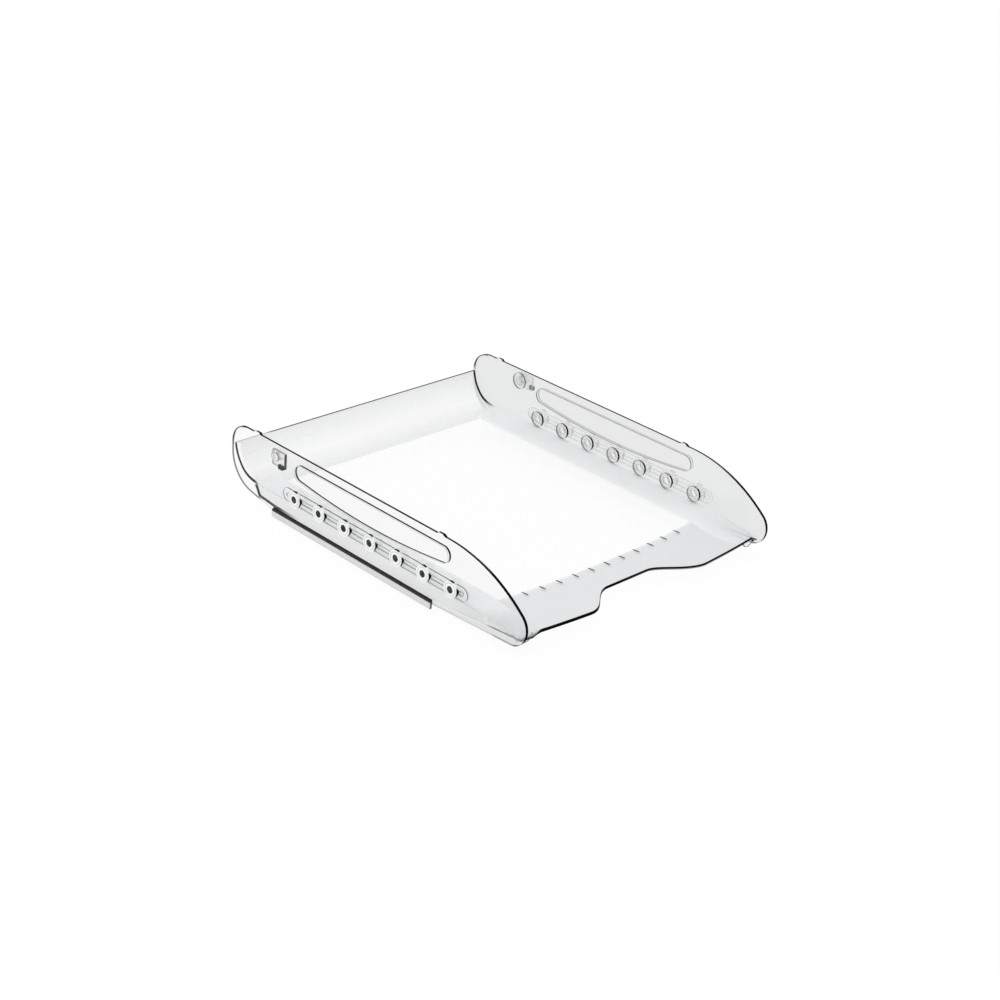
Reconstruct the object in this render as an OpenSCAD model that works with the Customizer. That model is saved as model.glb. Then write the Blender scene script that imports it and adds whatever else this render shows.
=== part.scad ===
// Clear letter tray with two cheeks, socket tracks, stacking rails and swivelling catches.
// Millimetres. X is the width, Y runs to the back, Z is up. The origin is on the table, under the centre.

/* [Tray] */
// Clear width between the two cheeks
inner_w = 245.6; // [230:0.2:270]
// Depth from the front of the cheeks to their back
tray_d = 314.6; // [300:0.2:350]
// Height of the cheeks' top edge above the table
top_z = 58.5; // [56:0.5:70]
// Height of the floor's upper face above the table
floor_z = 15; // [14.5:0.1:15.5]
// Wall of the pan
shell_t = 2.4; // [2:0.1:2.8]

/* [Pan] */
// Width of the curved strip beside each cheek
band_w = 24.3; // [18:0.1:32]
// Rise of that strip where it meets the cheek
band_rise = 2.8; // [2:0.1:3.2]
// Inner radius of the concave back wall
back_r = 29.6; // [27:0.1:34]
// Height of the back wall's top edge
back_z = 40.5; // [34:0.5:42]
// Length of the front apron, from the floor to the lip
apron_l = 47.3; // [40:0.1:55]
// Depth of the apron's hollow below the floor
apron_dip = 2.4; // [1.5:0.1:3]
// Radius of the fillet between apron and cheek
apron_fillet = 7; // [5:0.5:9]
// Radius of the lip's bow, seen from above
lip_bow_r = 900; // [700:10:1500]
// Straight width of the finger scoop's back edge
scoop_w = 40; // [30:1:60]
// Depth of the finger scoop behind the middle of the lip
scoop_d = 23.5; // [16:0.5:28]
// Width of the curve at each side of the scoop
scoop_run = 40; // [24:1:44]
// Wall of the skirt that hangs beside each cheek
skirt_t = 2; // [1.6:0.1:2.6]
// Height of the skirt's lower edge above the cheek's lower edge
skirt_up = 1.5; // [1:0.1:2.5]

/* [Ribs] */
// Number of short ribs along the front of the floor
rib_n = 11; // [5:2:15]
// Distance between neighbouring ribs
rib_pitch = 15.7; // [12:0.1:16]
// Length of a rib
rib_l = 7.6; // [4:0.1:9]
// Width of a rib
rib_w = 1.2; // [0.8:0.1:2]

/* [Cheeks] */
// Thickness of a cheek
cheek_t = 2.4; // [2:0.1:3]
// Radius of the rounded front corner
nose_r = 14.2; // [12:0.1:16]
// Height of that corner's centre
nose_z = 21; // [19:0.1:23]
// Radius of the long front slope
front_r = 114; // [95:1:130]
// Radius of the upper back corner
back_top_r = 16.5; // [12:0.1:18]
// Radius of the lower back corner
back_low_r = 27; // [22:0.1:30]
// Height of the lower back corner's lowest point
back_low_z = 8; // [7:0.1:10]
// Height of the cheek's lower edge above the table
under_z = 3.1; // [2.5:0.1:4]
// Length of a stop nub on the top edge
nub_l = 8; // [6:0.1:10]
// Height of a stop nub
nub_h = 1.4; // [0.8:0.1:2]
// Distance from a rail's back end to the rear stop nub
nub_aft = 18.2; // [14:0.1:22]

/* [D panel] */
// Distance from the front of the cheeks back to the panel
panel_fore = 76.7; // [72:0.1:84]
// Distance from the catch's pivot forward to the panel
panel_aft = 18.7; // [16:0.1:24]
// Distance from the top edge down to the panel
panel_drop = 7.5; // [6:0.1:9]
// Radius of the panel's ends
panel_end_r = 6.3; // [5:0.1:7]
// Web between the panel and the socket track
panel_web = 3.4; // [2.4:0.1:5]
// Depth of the panel's pocket inside the cheek
pocket_d = 1.6; // [1:0.1:2]
// Height of the panel's pad outside the cheek
pad_h = 0.6; // [0.4:0.1:1]

/* [Sockets] */
// Sockets on each side
socket_n = 7; // [3:2:7]
// Distance between neighbouring sockets
socket_pitch = 27.8; // [24:0.1:29]
// Distance from the middle of the tray forward to the middle socket
socket_fore = 4.2; // [2:0.1:6]
// Height of the socket row above the table
socket_z = 24.7; // [24.5:0.1:26]
// Bore of a socket
socket_bore = 5.4; // [4:0.1:6]
// Outside diameter of a socket's shank
shank_d = 8; // [7.2:0.1:8.6]
// Diameter of a socket's head
head_d = 12.4; // [11.6:0.1:12.6]
// Thickness of a socket's head
head_t = 2; // [1.5:0.1:3]
// Step of the snap rim outside the shank
snap_step = 0.7; // [0.4:0.1:0.9]
// Width of the socket track
track_w = 10.6; // [10:0.1:11.6]
// Thickness of the socket track
track_t = 1.6; // [1.4:0.1:2.2]
// Length of track beyond the last socket
track_over = 15; // [10:0.5:18]
// Width of the groove along the middle of the track
groove_w = 3; // [2:0.1:4]
// Depth of that groove
groove_d = 0.8; // [0.4:0.1:1]
// Diameter of the ring that stands around a socket on the track
ring_d = 12.6; // [12.2:0.1:12.8]
// Height of that ring above the track
ring_h = 2.1; // [1.6:0.1:2.6]
// Depth of the seat for the snap rim inside that ring
ring_seat = 0.8; // [0.8:0.1:1.2]
// Gap inside that ring around the snap rim
ring_gap = 0.4; // [0.2:0.1:0.6]

/* [Rails] */
// Length of a stacking rail
rail_l = 174; // [160:1:180]
// Distance from the middle of the tray back to the rail's middle
rail_y = 19; // [15:0.5:22]
// Height of a stacking rail
rail_h = 7; // [6:0.1:9]
// Distance that a rail stands out from its cheek
rail_out = 2.2; // [1.8:0.1:3]
// Bevel along the rail's upper outer edge
rail_bevel = 1.5; // [0.5:0.1:1.6]
// Slip between the rail's flange and the cheek of a tray below
rail_slip = 0.3; // [0.2:0.1:0.6]

/* [Catches] */
// Distance from the back of the cheek forward to the catch's pivot
catch_in = 54.6; // [50:0.1:58]
// Distance from the top edge down to the pivot
catch_drop = 8.7; // [8:0.1:10]
// Diameter of the pivot pin
pin_d = 6; // [5:0.1:7]
// Diameter of the pin's head
pin_head_d = 13.4; // [11:0.1:14]
// Thickness of the pin's head
pin_head_t = 1.6; // [1.2:0.1:2]
// Reach of the lever in front of the pivot
lever_fore = 10.2; // [9:0.1:12]
// Reach of the lever's flat end behind the pivot
lever_aft = 4; // [3.5:0.1:4.4]
// Radius of the lever's round eye
eye_r = 5; // [4.6:0.1:5.2]
// Reach of the lever above the pivot
lever_up = 5.4; // [4.5:0.1:6]
// Reach of the lever below the pivot
lever_down = 6.8; // [6:0.1:8]
// Thickness of the lever
lever_t = 2.4; // [2:0.1:3]
// Length of the block at the lever's lower front corner
block_l = 4.9; // [4:0.1:5]
// Height of that block
block_h = 3.4; // [2.5:0.1:4]
// Distance that the block stands out from the lever
block_out = 1.8; // [1:0.1:3]

/* [Feet] */
// Width of a front foot
foot_w = 11; // [8:0.1:12]
// Length of a front foot
foot_l = 32; // [24:0.5:36]
// Distance from the front of the cheeks back to the foot
foot_in = 8.5; // [7:0.1:12]
// Height of the foot's lowest point above the table
foot_z = 5.8; // [4:0.1:6.5]

/* [Clearances] */
// Gap around a shank or pin in its hole
run_gap = 0.05; // [0.02:0.01:0.1]
// Gap at each side of a cheek where the catch turns
side_gap = 0.2; // [0.15:0.01:0.3]
// Thin joint between a piece and the face that it is fixed to
glue = 0.05; // [0.02:0.01:0.1]

/* [Hidden] */
$fn = 64;
half_d = tray_d / 2;
half_w = inner_w / 2;
outer_x = half_w + cheek_t;
big = tray_d + inner_w;
// Depth by which a line or arc ends inside the arc that it runs into, so that the two cross cleanly
tuck = 0.05;

// Cheek outline: circle centres and the points where lines and arcs meet
nose_c = [-half_d + nose_r, nose_z];
front_rise = nose_z - (top_z - front_r);
front_reach = front_r - nose_r + tuck;
front_run = sqrt(pow(front_reach, 2) - pow(front_rise, 2));
front_c = [nose_c.x + front_run, top_z - front_r];
front_top = [front_c.x, top_z];
front_end = front_c + front_r / front_reach * (nose_c - front_c);
front_apex = [-half_d - nose_r, top_z + nose_r];
back_top_c = [half_d - back_top_r, top_z - back_top_r];
back_low_c = [half_d - back_low_r, back_low_z + back_low_r];
rail_front = rail_y - rail_l / 2;
rail_back = rail_y + rail_l / 2;

// Pan
back_c = [half_d - sqrt(pow(back_r + shell_t, 2) - pow(floor_z + back_r - back_z, 2)), floor_z + back_r];
apron_y = -half_d + apron_l;
apron_r = (pow(apron_l / 2, 2) + pow(apron_dip, 2)) / (2 * apron_dip);
apron_c = [-half_d + apron_l / 2, floor_z - apron_dip + apron_r];
band_r = (pow(band_w, 2) + pow(band_rise, 2)) / (2 * band_rise);
band_c = [half_w - band_w, floor_z + band_r];
flat_w = half_w - band_w;
pan_x = half_w - glue;
scoop_steps = 16;
skirt_z = under_z + skirt_up;

// Catch
catch_c = [half_d - catch_in, top_z - catch_drop];
lever_x = outer_x + side_gap;

// Panel, sockets and track
track_top = socket_z + track_w / 2;
panel_low = track_top + panel_web;
panel_top = top_z - panel_drop;
panel_front = -half_d + panel_fore;
panel_back = catch_c.x - panel_aft;
panel_y = (panel_front + panel_back) / 2;
panel_flat = (panel_back - panel_front) / 2 - panel_end_r;
panel_foot = panel_top - 2 * panel_end_r;
panel_bow = panel_foot + tuck - panel_low;
panel_r = (pow(panel_flat, 2) + pow(panel_bow, 2)) / (2 * panel_bow);
socket_ys = [for (i = [0 : socket_n - 1]) -socket_fore - (i - (socket_n - 1) / 2) * socket_pitch];
track_l = (socket_n - 1) * socket_pitch + 2 * track_over;
track_x = outer_x + glue;
groove_x = track_x + track_t - groove_d;
seat_x = track_x + track_t + ring_h - ring_seat;

// The point where a line from q touches the circle of centre c and radius r, on side s
function touch(q, c, r, s) =
    let (v = q - c, a = atan2(v.y, v.x) + s * acos(r / norm(v)))
    c + r * [cos(a), sin(a)];

// A circle whose facets grow with its radius, so that wide arcs stay true
module disc(r) {
    circle(r, $fn = 64 + 4 * ceil(r));
}

// A YZ outline as a plate from x to x + t
module side_plate(x, t) {
    translate([x, 0, 0]) rotate([90, 0, 90]) linear_extrude(t) children();
}

// An XZ outline as a bar that runs from y0 back to y1
module long_bar(y0, y1) {
    translate([0, y1, 0]) rotate([90, 0, 0]) linear_extrude(y1 - y0) children();
}

// A radius and X profile turned about the line through y and z along X
module turned(c) {
    translate([0, c.x, c.y]) rotate([0, 90, 0]) rotate_extrude() children();
}

// The right side's piece on the right for side 1, and mirrored to the left for side -1
module on_side(side) {
    if (side > 0) children();
    else mirror([1, 0, 0]) children();
}

module cheek_outline() {
    polygon([
        [half_d, back_low_c.y],
        [half_d, back_top_c.y],
        [back_top_c.x, top_z],
        front_top,
        front_end,
        touch([rail_front, under_z], nose_c, nose_r - tuck, -1),
        [rail_front, under_z],
        [rail_back, under_z],
        touch([rail_back, under_z], back_low_c, back_low_r - tuck, 1)
    ]);
    translate(nose_c) disc(nose_r);
    translate(back_top_c) disc(back_top_r);
    intersection() {
        translate(back_low_c) disc(back_low_r);
        translate([back_low_c.x - back_low_r, 0]) square([2 * back_low_r, back_low_c.y]);
    }
    intersection() {
        translate(front_c) disc(front_r);
        polygon([front_top, front_apex, front_end]);
    }
}

// A stop nub on the top edge, with its steep end at y and its slope running on by nub_l towards dir
module nub_outline(y, dir) {
    polygon([
        [y, top_z - nub_h],
        [y, top_z],
        [y + dir * nub_h, top_z + nub_h],
        [y + dir * (nub_l - 2 * nub_h), top_z + nub_h],
        [y + dir * nub_l, top_z],
        [y + dir * nub_l, top_z - nub_h]
    ]);
}

module panel_outline() {
    translate([panel_y, 0]) {
        translate([-panel_flat, panel_foot]) square([2 * panel_flat, 2 * panel_end_r]);
        for (s = [-1, 1])
            translate([s * panel_flat, panel_foot + panel_end_r]) disc(panel_end_r);
        intersection() {
            translate([0, panel_low + panel_r]) disc(panel_r);
            translate([-panel_flat, panel_low - panel_bow]) square([2 * panel_flat, 2 * panel_bow]);
        }
    }
}

// A round ended slot along the socket row
module track_outline(width) {
    reach = track_l / 2 - track_w / 2;
    translate([-socket_fore, socket_z]) {
        square([2 * reach, width], center = true);
        for (s = [-1, 1])
            translate([s * reach, 0]) disc(width / 2);
    }
}

// A circle at each socket
module socket_discs(r) {
    for (y = socket_ys)
        translate([y, socket_z]) circle(r);
}

module shank_holes() {
    socket_discs(shank_d / 2 + run_gap);
}

module cheek(side) {
    on_side(side) difference() {
        union() {
            side_plate(half_w, cheek_t) {
                cheek_outline();
                nub_outline(rail_front, -1);
                nub_outline(rail_back + nub_aft, 1);
            }
            side_plate(half_w, cheek_t + pad_h) panel_outline();
        }
        side_plate(half_w - cheek_t, cheek_t + pocket_d) panel_outline();
        side_plate(half_w - cheek_t, 3 * cheek_t) {
            shank_holes();
            translate(catch_c) circle(pin_d / 2 + run_gap);
        }
    }
}

module track(side) {
    on_side(side) difference() {
        union() {
            difference() {
                side_plate(track_x, track_t) track_outline(track_w);
                side_plate(groove_x, track_t) track_outline(groove_w);
            }
            side_plate(track_x, track_t + ring_h) socket_discs(ring_d / 2);
        }
        side_plate(seat_x, track_t + ring_h) socket_discs(shank_d / 2 + snap_step + ring_gap);
        side_plate(outer_x - track_t, 3 * (track_t + ring_h)) shank_holes();
    }
}

module socket(side, i) {
    snap_x = seat_x + glue;
    on_side(side) turned([socket_ys[i], socket_z]) polygon([
        [socket_bore / 2, half_w - head_t],
        [head_d / 2, half_w - head_t],
        [head_d / 2, half_w - glue],
        [shank_d / 2, half_w - glue],
        [shank_d / 2, snap_x],
        [shank_d / 2 + snap_step, snap_x],
        [shank_d / 2 + snap_step / 2, snap_x + snap_step],
        [socket_bore / 2, snap_x + snap_step]
    ]);
}

module rail(side) {
    on_side(side) long_bar(rail_front, rail_back) polygon([
        [outer_x + glue, rail_h],
        [outer_x + rail_out - rail_bevel, rail_h],
        [outer_x + rail_out, rail_h - rail_bevel],
        [outer_x + rail_out, 0],
        [outer_x + rail_slip, 0],
        [outer_x + rail_slip, under_z],
        [outer_x + glue, under_z + rail_slip]
    ]);
}

module catch_lever(side) {
    on_side(side) difference() {
        union() {
            side_plate(lever_x, lever_t) translate(catch_c) {
                translate([-lever_fore, -lever_down])
                    square([lever_fore + lever_aft, lever_up + lever_down]);
                circle(eye_r);
            }
            side_plate(lever_x, lever_t + block_out) translate(catch_c)
                translate([-lever_fore, -lever_down]) square([block_l, block_h]);
        }
        side_plate(lever_x - lever_t, 3 * lever_t) translate(catch_c) circle(pin_d / 2 + run_gap);
    }
}

module catch_pin(side) {
    head_x = half_w - side_gap;
    snap_x = lever_x + lever_t + glue;
    on_side(side) turned(catch_c) polygon([
        [0, head_x - pin_head_t / 2],
        [pin_d / 2, head_x - pin_head_t / 2],
        [pin_d / 2, head_x - pin_head_t],
        [pin_head_d / 2, head_x - pin_head_t],
        [pin_head_d / 2, head_x],
        [pin_d / 2, head_x],
        [pin_d / 2, snap_x],
        [pin_d / 2 + snap_step, snap_x],
        [pin_d / 2 + snap_step / 2, snap_x + snap_step],
        [0, snap_x + snap_step]
    ]);
}

// A rounded lug whose top is cut to the apron's underside
module foot(side) {
    foot_x = pan_x - skirt_t - rail_slip - foot_w / 2;
    on_side(side) difference() {
        long_bar(-half_d + foot_in, -half_d + foot_in + foot_l) translate([foot_x, foot_z + foot_w / 2]) {
            disc(foot_w / 2);
            translate([-foot_w / 2, 0]) square([foot_w, floor_z - foot_z]);
        }
        side_plate(0, big) translate(apron_c) disc(apron_r + shell_t + glue);
    }
}

module back_outline() {
    intersection() {
        translate(back_c) difference() {
            disc(back_r + shell_t);
            disc(back_r);
        }
        translate([back_c.x, 0]) square([half_d, back_z]);
    }
}

// Everything in front of the back wall's outer face
module before_back() {
    side_plate(-big, 2 * big) {
        translate([-big, 0]) square([big + back_c.x, big]);
        translate(back_c) disc(back_r + shell_t);
    }
}

// All that lies under the curved strip beside a cheek
module under_band() {
    difference() {
        translate([flat_w, 0]) square([pan_x - flat_w, floor_z + band_rise]);
        translate(band_c) disc(band_r);
    }
}

// The curved strip itself
module band_outline() {
    intersection() {
        under_band();
        translate(band_c) disc(band_r + shell_t);
    }
}

module apron_outline() {
    intersection() {
        translate(apron_c) difference() {
            disc(apron_r + shell_t);
            disc(apron_r);
        }
        translate([-half_d - shell_t, 0]) square([apron_l + shell_t, floor_z + shell_t]);
    }
}

// Distance by which the bowed lip lies behind its middle at x
function lip_bow(x) = lip_bow_r - sqrt(pow(lip_bow_r, 2) - pow(x, 2));

// Half of the scoop's edge, a smooth step from its straight back to just outside the lip
function scoop_edge(s) = [
    for (i = [0 : scoop_steps])
        let (
            t = i / scoop_steps,
            x = scoop_w / 2 + t * scoop_run,
            lip = lip_bow(x) - tuck
        )
        [s * x, -half_d + lip + (scoop_d - lip) * (1 + cos(180 * t)) / 2]
];

module lip_plan() {
    difference() {
        intersection() {
            translate([-pan_x, -half_d]) square([2 * pan_x, apron_l]);
            translate([0, -half_d + lip_bow_r]) disc(lip_bow_r);
        }
        polygon(concat(
            [[-scoop_w / 2 - scoop_run, -half_d - scoop_d]],
            [for (i = [scoop_steps : -1 : 0]) scoop_edge(-1)[i]],
            scoop_edge(1),
            [[scoop_w / 2 + scoop_run, -half_d - scoop_d]]
        ));
    }
}

// The tapering front end of a side strip, seen from above
module corner_plan() {
    polygon([
        [flat_w, apron_y],
        [pan_x, apron_y],
        [pan_x, apron_y - apron_l / 2],
        [pan_x - apron_fillet, apron_y - apron_l / 2]
    ]);
}

// All that lies under the fillet between apron and cheek
module under_fillet() {
    top = floor_z - apron_dip + apron_fillet;
    difference() {
        translate([pan_x - apron_fillet, 0]) square([apron_fillet, top]);
        translate([pan_x - apron_fillet, top]) disc(apron_fillet);
    }
}

// Everything above the middle of the apron's wall
module above_apron() {
    side_plate(0, big) translate(apron_c) disc(apron_r + shell_t / 2);
}

module skirt_outline() {
    polygon([
        [apron_c.x, floor_z - apron_dip],
        [apron_c.x, back_low_z + skirt_up],
        [rail_front, skirt_z],
        [rail_back, skirt_z],
        [back_c.x, back_low_z],
        [back_c.x + shell_t * 2, floor_z - shell_t / 2],
        [back_c.x, floor_z + shell_t / 2],
        [apron_y, floor_z + shell_t / 2]
    ]);
}

// A thin layer inside the floor that reaches into the walls around it, so that all of them are one solid
module floor_core() {
    translate([-flat_w - shell_t, apron_y - shell_t, floor_z - 2 / 3 * shell_t])
        cube([2 * (flat_w + shell_t), back_c.x - apron_y + 2 * shell_t, shell_t / 3]);
}

module pan() {
    translate([-flat_w, apron_y, floor_z - shell_t])
        cube([2 * flat_w, back_c.x - apron_y, shell_t]);
    floor_core();
    side_plate(-pan_x, 2 * pan_x) back_outline();
    intersection() {
        side_plate(-pan_x, 2 * pan_x) apron_outline();
        linear_extrude(big) lip_plan();
    }
    for (side = [-1, 1]) on_side(side) {
        intersection() {
            long_bar(apron_y, back_c.x + back_r) band_outline();
            before_back();
        }
        intersection() {
            long_bar(-half_d, apron_y) under_band();
            linear_extrude(big) corner_plan();
            above_apron();
        }
        intersection() {
            long_bar(-half_d, apron_y) under_fillet();
            linear_extrude(big) lip_plan();
            above_apron();
        }
        side_plate(pan_x - skirt_t, skirt_t) skirt_outline();
    }
    for (i = [0 : rib_n - 1])
        translate([(i - (rib_n - 1) / 2) * rib_pitch - rib_w / 2, apron_y - rib_l, floor_z - shell_t])
            cube([rib_w, rib_l, shell_t]);
}

clear = [0.87, 0.9, 0.91];
smoke = [0.62, 0.66, 0.68];

module tray_pan() { color(clear) pan(); }
module left_cheek() { color(clear) cheek(-1); }
module right_cheek() { color(clear) cheek(1); }
module left_track() { color(clear) track(-1); }
module right_track() { color(clear) track(1); }
module left_socket_1() { color(smoke) socket(-1, 0); }
module left_socket_2() { color(smoke) socket(-1, 1); }
module left_socket_3() { color(smoke) socket(-1, 2); }
module left_socket_4() { color(smoke) socket(-1, 3); }
module left_socket_5() { color(smoke) socket(-1, 4); }
module left_socket_6() { color(smoke) socket(-1, 5); }
module left_socket_7() { color(smoke) socket(-1, 6); }
module right_socket_1() { color(smoke) socket(1, 0); }
module right_socket_2() { color(smoke) socket(1, 1); }
module right_socket_3() { color(smoke) socket(1, 2); }
module right_socket_4() { color(smoke) socket(1, 3); }
module right_socket_5() { color(smoke) socket(1, 4); }
module right_socket_6() { color(smoke) socket(1, 5); }
module right_socket_7() { color(smoke) socket(1, 6); }
module left_rail() { color(clear) rail(-1); }
module right_rail() { color(clear) rail(1); }
module left_catch() { color(clear) catch_lever(-1); }
module right_catch() { color(clear) catch_lever(1); }
module left_catch_pin() { color(smoke) catch_pin(-1); }
module right_catch_pin() { color(smoke) catch_pin(1); }
module left_foot() { color(clear) foot(-1); }
module right_foot() { color(clear) foot(1); }

tray_pan();
left_cheek();
right_cheek();
left_track();
right_track();
left_socket_1();
left_socket_2();
left_socket_3();
left_socket_4();
left_socket_5();
left_socket_6();
left_socket_7();
right_socket_1();
right_socket_2();
right_socket_3();
right_socket_4();
right_socket_5();
right_socket_6();
right_socket_7();
left_rail();
right_rail();
left_catch();
right_catch();
left_catch_pin();
right_catch_pin();
left_foot();
right_foot();
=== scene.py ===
"""Dresses the solids of a clear letter tray: moulded pan, turned sockets, soft edges and clear plastic."""

import math

import bmesh
import bpy
import numpy as np
from bpy.props import FloatProperty, FloatVectorProperty, IntProperty, PointerProperty
from mathutils import Matrix, Vector


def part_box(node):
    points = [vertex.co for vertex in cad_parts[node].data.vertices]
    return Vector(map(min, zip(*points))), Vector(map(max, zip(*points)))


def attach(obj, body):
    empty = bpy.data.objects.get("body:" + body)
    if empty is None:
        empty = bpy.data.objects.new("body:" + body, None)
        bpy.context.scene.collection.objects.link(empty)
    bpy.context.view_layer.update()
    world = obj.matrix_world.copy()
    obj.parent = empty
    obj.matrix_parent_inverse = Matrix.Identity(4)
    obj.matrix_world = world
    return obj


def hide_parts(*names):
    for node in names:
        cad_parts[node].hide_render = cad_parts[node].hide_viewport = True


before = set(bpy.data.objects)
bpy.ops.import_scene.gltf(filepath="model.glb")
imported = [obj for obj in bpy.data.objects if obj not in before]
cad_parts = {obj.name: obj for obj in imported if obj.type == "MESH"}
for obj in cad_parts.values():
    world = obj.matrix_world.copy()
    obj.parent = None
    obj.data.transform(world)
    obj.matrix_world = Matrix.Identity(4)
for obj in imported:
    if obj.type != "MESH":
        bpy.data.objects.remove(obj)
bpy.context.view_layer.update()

bl_info = {
    "name": "Clear letter tray",
    "version": (1, 0, 0),
    "blender": (4, 5, 0),
    "location": "3D View > Sidebar > Tray",
    "description": "Builds the looks of a clear letter tray around its solids",
    "category": "Add Mesh",
}

# Boxes of the solids, in metres, from which the pieces take their places
PAN_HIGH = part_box("tray_pan")[1]
HALF_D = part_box("right_cheek")[1].y
SIDES = {"left": -1, "right": 1}
BODY = "tray"
# Angle in degrees past which an edge is sharp, or gets a soft rounding
SHARP = 35


def length(name, description, default):
    """A size in metres that a user may change."""
    return FloatProperty(name=name, description=description, default=default,
                         unit="LENGTH", subtype="DISTANCE", precision=5)


def share(name, description, default):
    """A number from 0 to 1."""
    return FloatProperty(name=name, description=description, default=default, min=0, max=1, subtype="FACTOR")


def colour(name, description, default):
    """A linear colour."""
    return FloatVectorProperty(name=name, description=description, default=default,
                               size=3, min=0, max=1, subtype="COLOR")


def angle(name, description, degrees):
    """An angle, given in degrees and kept in radians."""
    return FloatProperty(name=name, description=description, default=math.radians(degrees), subtype="ANGLE")


class PanSizes(bpy.types.PropertyGroup):
    """Sizes of the moulded pan."""
    floor_z: length("Floor height", "Height of the floor's upper face above the table", 0.015)
    wall: length("Wall", "Thickness of the moulding", 0.0024)
    nose: length("Rim", "Reach of the rounded rim at the lip and along the top of the back wall", 0.0008)
    strip_w: length("Strip width", "Width of the curved strip beside each cheek", 0.0243)
    strip_end: length("Strip end", "Width of that strip at the lip", 0.006)
    strip_rise: length("Strip rise", "Rise of the strip where it meets the cheek", 0.0028)
    back_r: length("Back radius", "Inner radius of the concave back wall", 0.0296)
    apron_l: length("Apron length", "Length of the apron from the floor to the lip", 0.0473)
    apron_dip: length("Apron dip", "Depth of the apron's hollow below the floor", 0.0024)
    bow_r: length("Bow radius", "Radius of the lip's bow and of the floor's front edge, seen from above", 0.9)
    scoop_w: length("Scoop width", "Straight width of the finger scoop's back edge", 0.040)
    scoop_d: length("Scoop depth", "Depth of the finger scoop behind the middle of the lip", 0.0235)
    scoop_run: length("Scoop run", "Width of the curve at each side of the scoop", 0.040)
    corner_w: length("Corner width", "Width of the lip's turned down corner beside the left cheek", 0.0190)
    hook_w: length("Hook width", "Width of the lip's turned down end beside the right cheek", 0.0052)
    corner_l: length("Corner length", "Length of the turned down ends behind the lip", 0.009)
    corner_drop: length("Corner drop", "Drop of the lip at its turned down ends", 0.0076)


class RibSizes(bpy.types.PropertyGroup):
    """Sizes of the short ribs along the floor's front edge."""
    count: IntProperty(name="Ribs", description="Number of ribs", default=11, min=1)
    pitch: length("Pitch", "Distance between neighbouring ribs", 0.0157)
    reach: length("Length", "Length of a rib", 0.0076)
    width: length("Width", "Width of a rib", 0.001)
    rise: length("Rise", "Rise of a rib's front end above the floor", 0.001)
    root: length("Root", "Length of a rib behind the floor's front edge", 0.0004)


class SkirtSizes(bpy.types.PropertyGroup):
    """Sizes of the skirt that hangs from the pan beside each cheek."""
    wall: length("Wall", "Thickness of a skirt", 0.002)
    low: length("Lower edge", "Height of the lower edge between the ends of the rails", 0.0046)
    edge_rise: length("Edge rounding", "Height of the rounding along the lower edge", 0.0006)
    neck: length("Edge height", "Height at which the lower edge's dark mark has faded", 0.0013)
    front: length("Front end", "Distance of the skirt's front end from the front of the cheek", 0.0067)
    front_rise: length("Front rise", "Rise of the lower edge from the rail to the front end", 0.0073)
    back_rise: length("Back rise", "Slow rise of the lower edge behind the rail", 0.0014)
    tail_start: length("Tail start", "Start of the steep rise, behind a line that is one outer radius of the "
                                     "back wall before the back of the pan", 0.0012)
    tail_rise: length("Tail rise", "Steep rise of the lower edge into the back wall", 0.0076)
    tail_l: length("Tail length", "Length of that steep rise", 0.0062)
    gap: length("Gap", "Gap between the skirt and the pan above it", 0.00005)
    least: length("Least height", "Least height of the skirt", 0.0004)


class FootSizes(bpy.types.PropertyGroup):
    """Sizes of the foot under each end of the lip."""
    front_rise: length("Front rise", "Rise of the keel at the lip", 0.0018)
    front_run: length("Front run", "Length over which the keel sinks", 0.012)
    front_round: length("Front rounding", "Width of the front end's rounded rim", 0.0010)
    loop_l: length("Front loop", "Length over which the dark loop at the front end fades", 0.0015)
    least: length("Least height", "Least height of the foot", 0.0002)


class SocketSizes(bpy.types.PropertyGroup):
    """Sizes of a socket and of a catch's pin."""
    bore_r: length("Bore radius", "Radius of the socket's bore", 0.0027)
    head_t: length("Head", "Thickness of the socket's head", 0.00195)
    collar: length("Collar", "Width of the raised collar around the bore", 0.0014)
    groove: length("Groove", "Width of the ring groove in the head", 0.0011)
    groove_d: length("Groove depth", "Depth of that groove", 0.0007)
    lean: length("Groove lean", "Lean of the groove's walls", 0.0001)
    shank_r: length("Shank radius", "Radius of the socket's shank", 0.004)
    snap_step: length("Snap step", "Step of the snap rim", 0.0007)
    # Painted shade: the outer part of the bore is darkened as the inside of a hole.
    bore_shade_l: length("Dark bore", "Length of the bore's dark outer part", 0.00459)
    bore_shade_fade: length("Dark fade", "Length over which that part fades", 0.0006)
    pin_r: length("Pin radius", "Radius of the catch's pin", 0.003)
    pin_head_t: length("Pin head", "Thickness of the pin's head", 0.0016)
    pin_ring: share("Pin ring", "Radius of the ring on the pin's head, as a share of the head's radius", 0.62)
    round: length("Rounding", "Radius of the small roundings", 0.00025)


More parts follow.
